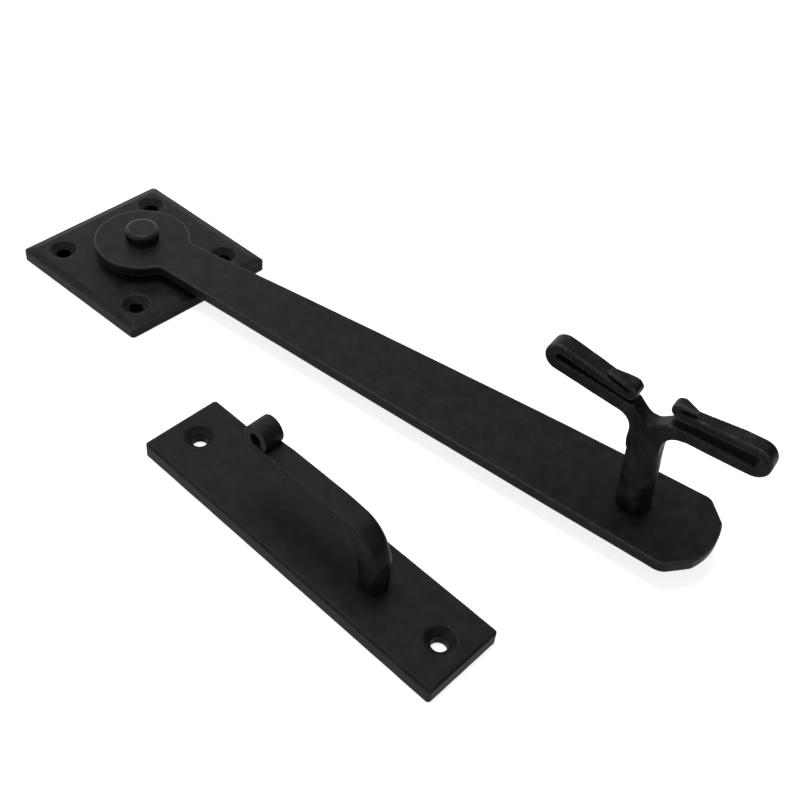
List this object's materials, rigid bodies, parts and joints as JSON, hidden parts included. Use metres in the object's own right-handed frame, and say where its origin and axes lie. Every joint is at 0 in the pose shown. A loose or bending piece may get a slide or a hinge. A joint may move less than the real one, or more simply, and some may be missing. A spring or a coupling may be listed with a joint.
{
  "type": "drop gate latch",
  "caption": "Drop gate latch set in black forged iron: an arm that turns on a square pivot plate, with a looped lifting handle, and a keeper plate whose rolled hook catches the arm.",
  "frame": {"origin": "on the pivot axis, at the back face of the pivot plate, which is the centre of its screw holes", "axes": "+Z out of the gate, along the pivot axis; +X along the pivot plate's edge towards the arm's tip; the set lies on its back"},
  "size_m": [0.3368, 0.1425, 0.0758],
  "materials": {
    "black_iron": "satin"
  },
  "bodies": {
    "base": {"pivot_plate": "black_iron", "pivot_rivet": "black_iron", "pivot_washer": "black_iron", "keeper_plate": "black_iron", "keeper_hook": "black_iron"},
    "arm": {"latch_bar": "black_iron", "lifting_handle": "black_iron"}
  },
  "joints": [
    {"name": "arm_pivot", "type": "hinge", "parent": "base", "child": "arm", "pos_m": [0, 0, 0.012], "axis": [0, 0, 1], "range_deg": [-17, 180]}
  ]
}
